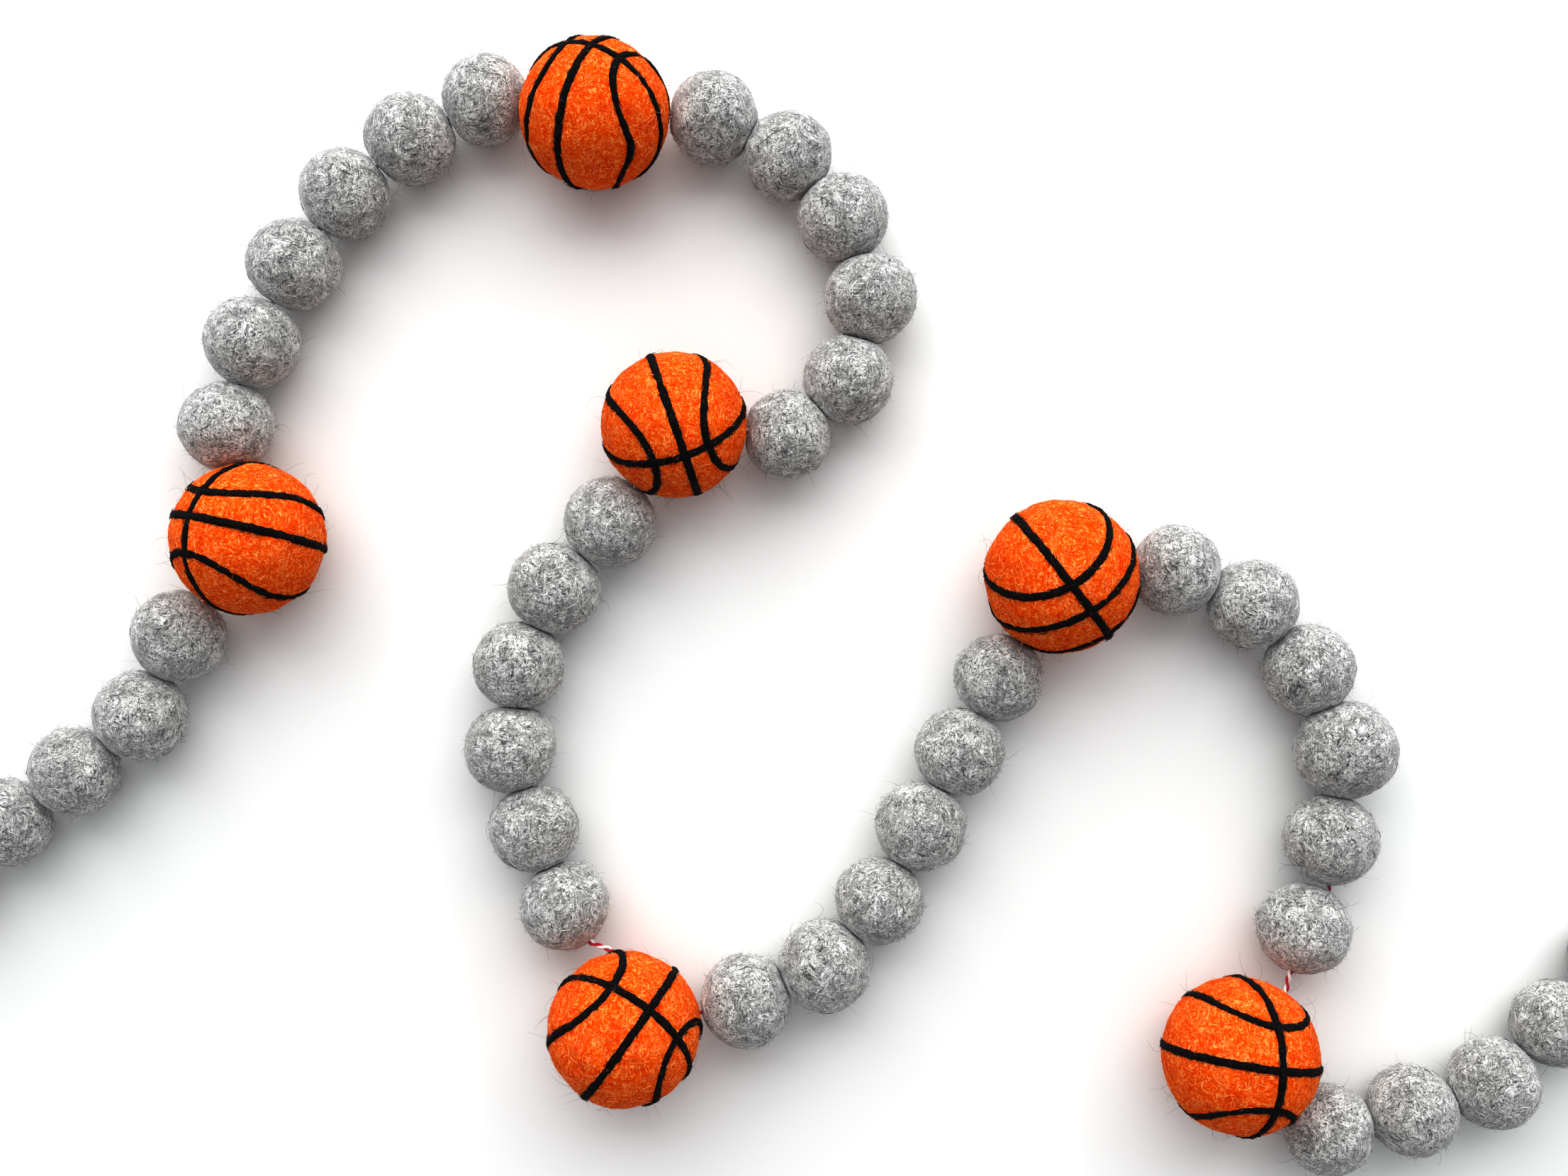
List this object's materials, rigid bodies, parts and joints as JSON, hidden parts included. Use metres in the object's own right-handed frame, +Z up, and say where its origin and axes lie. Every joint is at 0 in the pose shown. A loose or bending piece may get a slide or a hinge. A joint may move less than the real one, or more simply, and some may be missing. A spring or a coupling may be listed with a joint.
{
  "type": "felt ball garland",
  "caption": "Garland of small grey wool felt balls with larger orange felt basketballs spaced along it, strung on red and white twine with a hanging loop at each end.",
  "frame": {"origin": "on the surface, under the middle of the box that the balls fill", "axes": "+X from the garland's first ball towards its last, +Z up from the surface"},
  "size_m": [0.587, 0.3016, 0.0409],
  "materials": {
    "grey_felt": "matte felt",
    "orange_felt": "matte felt",
    "black_wool": "matte wool",
    "twine": "two-ply cotton twine"
  },
  "bodies": {
    "root": {"grey_ball_01": "grey_felt", "grey_ball_02": "grey_felt", "grey_ball_03": "grey_felt", "grey_ball_04": "grey_felt", "grey_ball_05": "grey_felt", "grey_ball_06": "grey_felt", "grey_ball_07": "grey_felt", "grey_ball_08": "grey_felt", "grey_ball_09": "grey_felt", "grey_ball_10": "grey_felt", "grey_ball_11": "grey_felt", "grey_ball_12": "grey_felt", "grey_ball_13": "grey_felt", "grey_ball_14": "grey_felt", "grey_ball_15": "grey_felt", "grey_ball_16": "grey_felt", "grey_ball_17": "grey_felt", "grey_ball_18": "grey_felt", "grey_ball_19": "grey_felt", "grey_ball_20": "grey_felt", "grey_ball_21": "grey_felt", "grey_ball_22": "grey_felt", "grey_ball_23": "grey_felt", "grey_ball_24": "grey_felt", "grey_ball_25": "grey_felt", "grey_ball_26": "grey_felt", "grey_ball_27": "grey_felt", "grey_ball_28": "grey_felt", "grey_ball_29": "grey_felt", "grey_ball_30": "grey_felt", "grey_ball_31": "grey_felt", "grey_ball_32": "grey_felt", "grey_ball_33": "grey_felt", "grey_ball_34": "grey_felt", "grey_ball_35": "grey_felt", "grey_ball_36": "grey_felt", "grey_ball_37": "grey_felt", "grey_ball_38": "grey_felt", "grey_ball_39": "grey_felt", "grey_ball_40": "grey_felt", "grey_ball_41": "grey_felt", "grey_ball_42": "grey_felt", "basketball_1": "orange_felt", "basketball_2": "orange_felt", "basketball_3": "orange_felt", "basketball_4": "orange_felt", "basketball_5": "orange_felt", "basketball_6": "orange_felt", "basketball_1_seams": "black_wool", "basketball_2_seams": "black_wool", "basketball_3_seams": "black_wool", "basketball_4_seams": "black_wool", "basketball_5_seams": "black_wool", "basketball_6_seams": "black_wool", "twine": "twine", "stop_knot_left": "twine", "stop_knot_right": "twine", "hanging_loop_left": "twine", "hanging_loop_right": "twine"}
  },
  "joints": []
}
